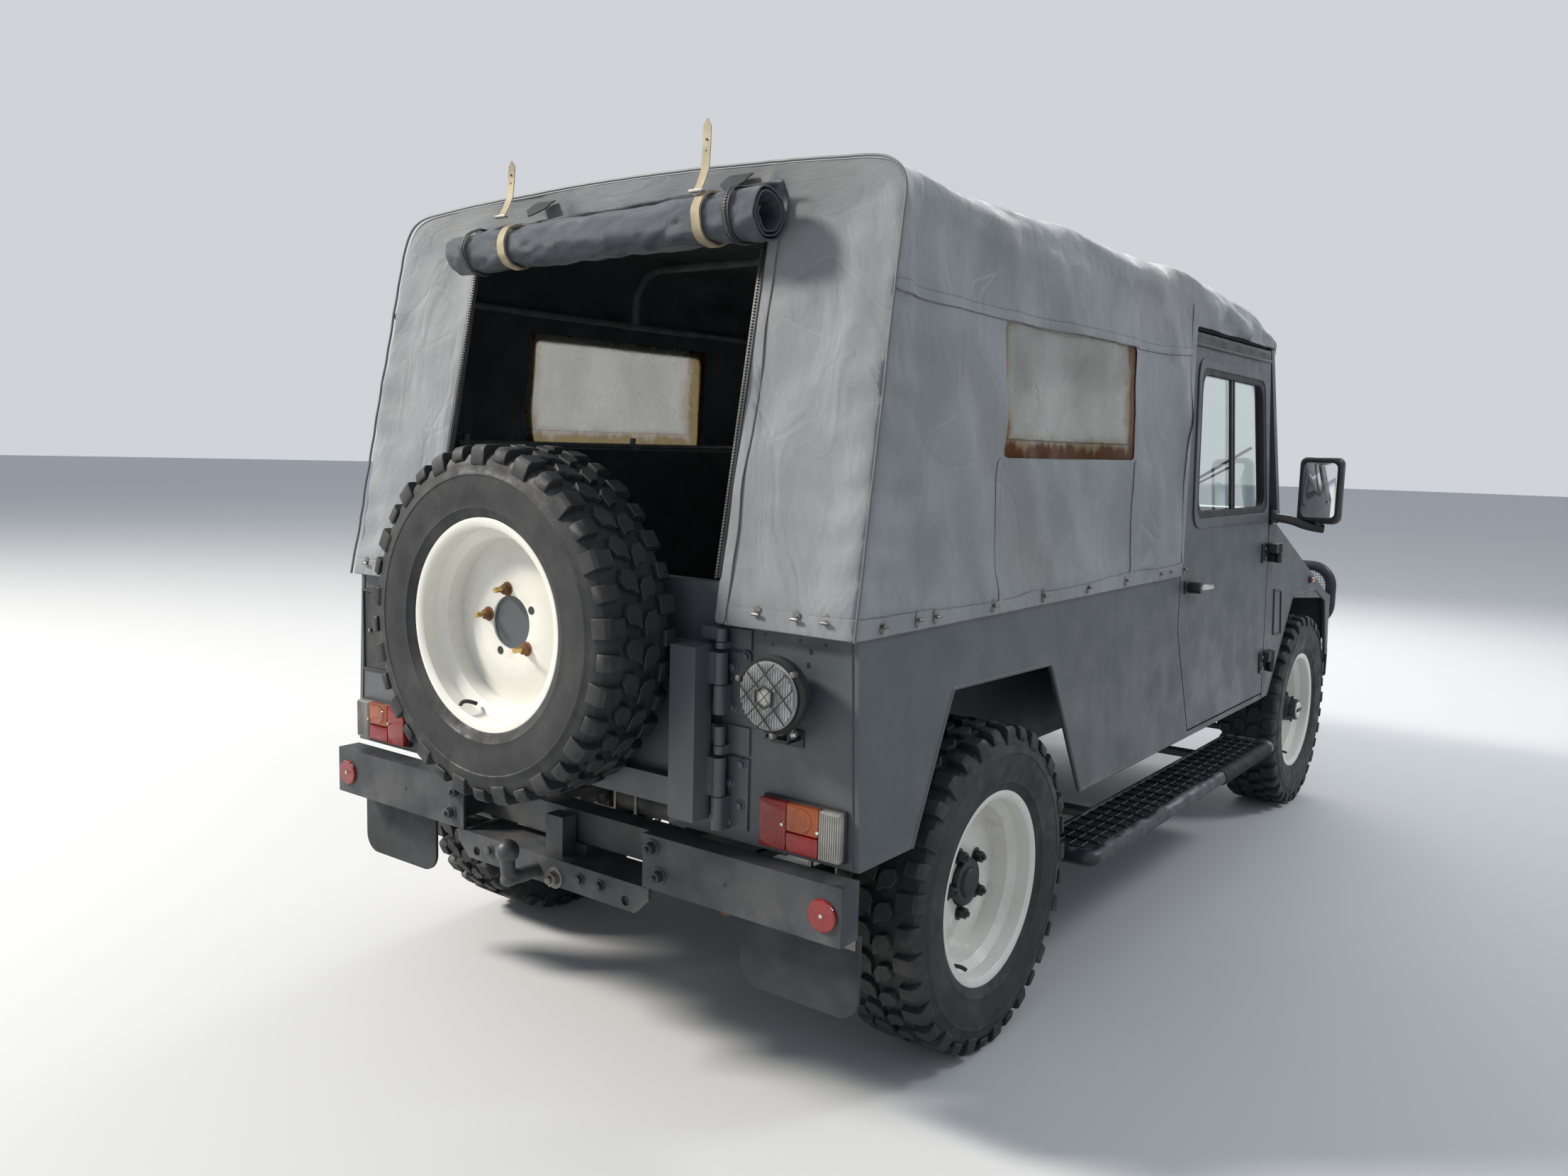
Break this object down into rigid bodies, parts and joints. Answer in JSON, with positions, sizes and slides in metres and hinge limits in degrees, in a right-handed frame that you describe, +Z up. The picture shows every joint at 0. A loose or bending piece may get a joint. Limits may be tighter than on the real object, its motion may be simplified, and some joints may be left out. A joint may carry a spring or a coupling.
{
  "type": "light four-wheel-drive army car",
  "caption": "Narrow soft-top army 4x4 car with flat steel body panels, spare wheel on a rear carrier, tow bar, side steps and bull bar.",
  "frame": {"origin": "on the ground, midway between the ends of the car, on its centreline", "axes": "+X forward, +Y to the car's left, +Z up"},
  "size_m": [3.984, 1.9, 1.8999],
  "materials": {
    "body_paint": "dark grey satin paint, slightly worn",
    "black_steel": "black paint with dust",
    "engine_metal": "plain cast metal",
    "exhaust_steel": "dull heat-stained steel",
    "wheel_paint": "cream white gloss paint",
    "tyre_rubber": "black rubber, faintly dusty",
    "canvas": "grey coated canvas, creased",
    "curtain_vinyl": "glossy grey coated cloth",
    "clear_vinyl": "yellowed clear sheet",
    "tube_paint": "grey painted tube",
    "glass": "clear glass",
    "black_plastic": "black grained plastic",
    "seat_fabric": "black coated cloth",
    "lamp_lens": "glossy lamp lens",
    "flap_rubber": "black rubber sheet"
  },
  "bodies": {
    "body": {"body_sides": "body_paint", "bull_bar": "black_steel", "canvas_hood": "canvas", "chassis_frame": "black_steel", "dashboard": "black_plastic", "exhaust": "exhaust_steel", "floor_pan": "body_paint", "front_axle": "black_steel", "front_seats": "seat_fabric", "front_wings": "body_paint", "fuel_tank": "black_steel", "grille": "black_plastic", "headlamps": "lamp_lens", "hood_frame": "tube_paint", "hood_windows": "clear_vinyl", "leaf_springs": "black_steel", "mirrors": "black_plastic", "mud_flaps": "flap_rubber", "nose_panel": "body_paint", "powertrain": "engine_metal", "rear_axle": "black_steel", "rear_bumper": "black_steel", "rear_curtain": "curtain_vinyl", "rear_lamps": "lamp_lens", "side_benches": "seat_fabric", "side_steps": "black_steel", "tow_bar": "black_steel", "windscreen": "glass", "windscreen_frame": "body_paint"},
    "bonnet": {"bonnet": "body_paint"},
    "door_left": {"door_left": "body_paint", "door_glass_left": "glass"},
    "door_right": {"door_right": "body_paint", "door_glass_right": "glass"},
    "tailgate": {"tailgate": "body_paint"},
    "spare_carrier": {"spare_carrier": "body_paint", "spare_wheel": "wheel_paint", "spare_tyre": "tyre_rubber"},
    "knuckle_left": {"knuckle_left": "black_steel"},
    "knuckle_right": {"knuckle_right": "black_steel"},
    "track_rod": {"track_rod": "black_steel"},
    "wheel_front_left": {"wheel_front_left": "wheel_paint", "tyre_front_left": "tyre_rubber"},
    "wheel_front_right": {"wheel_front_right": "wheel_paint", "tyre_front_right": "tyre_rubber"},
    "wheel_rear_left": {"wheel_rear_left": "wheel_paint", "tyre_rear_left": "tyre_rubber"},
    "wheel_rear_right": {"wheel_rear_right": "wheel_paint", "tyre_rear_right": "tyre_rubber"}
  },
  "joints": [
    {"name": "steer_left", "type": "hinge", "parent": "body", "child": "knuckle_left", "pos_m": [1.38, 0.54, 0.3675], "axis": [0, 0, 1], "range_deg": [-28, 28]},
    {"name": "steer_right", "type": "hinge", "parent": "body", "child": "knuckle_right", "pos_m": [1.38, -0.54, 0.3675], "axis": [0, 0, 1], "range_deg": [-28, 28]},
    {"name": "track_rod_pivot", "type": "hinge", "parent": "knuckle_left", "child": "track_rod", "pos_m": [1.24, 0.54, 0.3], "axis": [0, 0, 1], "range_deg": [-28, 28]},
    {"name": "front_left_spin", "type": "hinge", "parent": "knuckle_left", "child": "wheel_front_left", "pos_m": [1.38, 0.7, 0.3675], "axis": [0, 1, 0], "continuous": true},
    {"name": "front_right_spin", "type": "hinge", "parent": "knuckle_right", "child": "wheel_front_right", "pos_m": [1.38, -0.7, 0.3675], "axis": [0, 1, 0], "continuous": true},
    {"name": "rear_left_spin", "type": "hinge", "parent": "body", "child": "wheel_rear_left", "pos_m": [-1.18, 0.7, 0.3675], "axis": [0, 1, 0], "continuous": true},
    {"name": "rear_right_spin", "type": "hinge", "parent": "body", "child": "wheel_rear_right", "pos_m": [-1.18, -0.7, 0.3675], "axis": [0, 1, 0], "continuous": true},
    {"name": "door_left_hinge", "type": "hinge", "parent": "body", "child": "door_left", "pos_m": [0.856, 0.784, 0.83], "axis": [0, 0, -1], "range_deg": [0, 70]},
    {"name": "door_right_hinge", "type": "hinge", "parent": "body", "child": "door_right", "pos_m": [0.856, -0.784, 0.83], "axis": [0, 0, 1], "range_deg": [0, 70]},
    {"name": "bonnet_hinge", "type": "hinge", "parent": "body", "child": "bonnet", "pos_m": [1.008, 0, 1.0975], "axis": [0, -1, 0], "range_deg": [0, 55]},
    {"name": "carrier_hinge", "type": "hinge", "parent": "body", "child": "spare_carrier", "pos_m": [-1.78, -0.452, 0.78], "axis": [0, 0, 1], "range_deg": [0, 90]},
    {"name": "tailgate_hinge", "type": "hinge", "parent": "body", "child": "tailgate", "pos_m": [-1.78, -0.452, 0.87], "axis": [0, 0, 1], "range_deg": [0, 90]}
  ],
  "couplings": [
    {"joint": "steer_right", "follows": "steer_left", "ratio": 1},
    {"joint": "track_rod_pivot", "follows": "steer_left", "ratio": -1},
    {"joint": "tailgate_hinge", "follows": "carrier_hinge", "ratio": 1}
  ]
}
